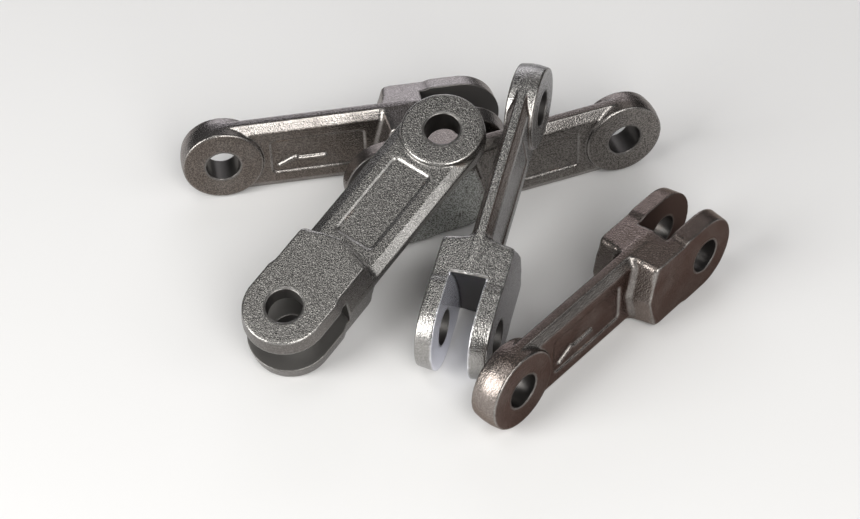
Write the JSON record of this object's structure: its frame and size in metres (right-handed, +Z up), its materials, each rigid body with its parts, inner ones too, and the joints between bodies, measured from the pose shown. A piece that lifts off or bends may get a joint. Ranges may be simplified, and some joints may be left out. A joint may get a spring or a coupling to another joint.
{
  "type": "forged conveyor chain links",
  "caption": "heap of loose drop-forged fork links for a drag conveyor chain, each with a bored eye, a flat shank with sunk panels and a slotted fork for a pin",
  "frame": {"origin": "on the floor, under the middle of the heap's box", "axes": "+Z up, +X to the right and +Y away from the viewer of the picture"},
  "size_m": [0.2232, 0.1799, 0.069],
  "materials": {
    "brown_steel": "shot-blasted, with brown oxide",
    "grey_steel": "shot-blasted, dark grey"
  },
  "bodies": {
    "middle": {"link_middle": "grey_steel"},
    "rear": {"link_rear": "brown_steel"},
    "leaning": {"link_leaning": "grey_steel"},
    "lying": {"link_lying": "grey_steel"},
    "front": {"link_front": "brown_steel"}
  },
  "joints": [
    {"name": "rear_lift", "type": "slide", "parent": "middle", "child": "rear", "axis": [0, 0, 1], "range_m": [0, 0.075]},
    {"name": "leaning_lift", "type": "slide", "parent": "middle", "child": "leaning", "axis": [0, 0, 1], "range_m": [0, 0.075]},
    {"name": "lying_lift", "type": "slide", "parent": "middle", "child": "lying", "axis": [0, 0, 1], "range_m": [0, 0.075]},
    {"name": "front_lift", "type": "slide", "parent": "middle", "child": "front", "axis": [0, 0, 1], "range_m": [0, 0.075]}
  ]
}
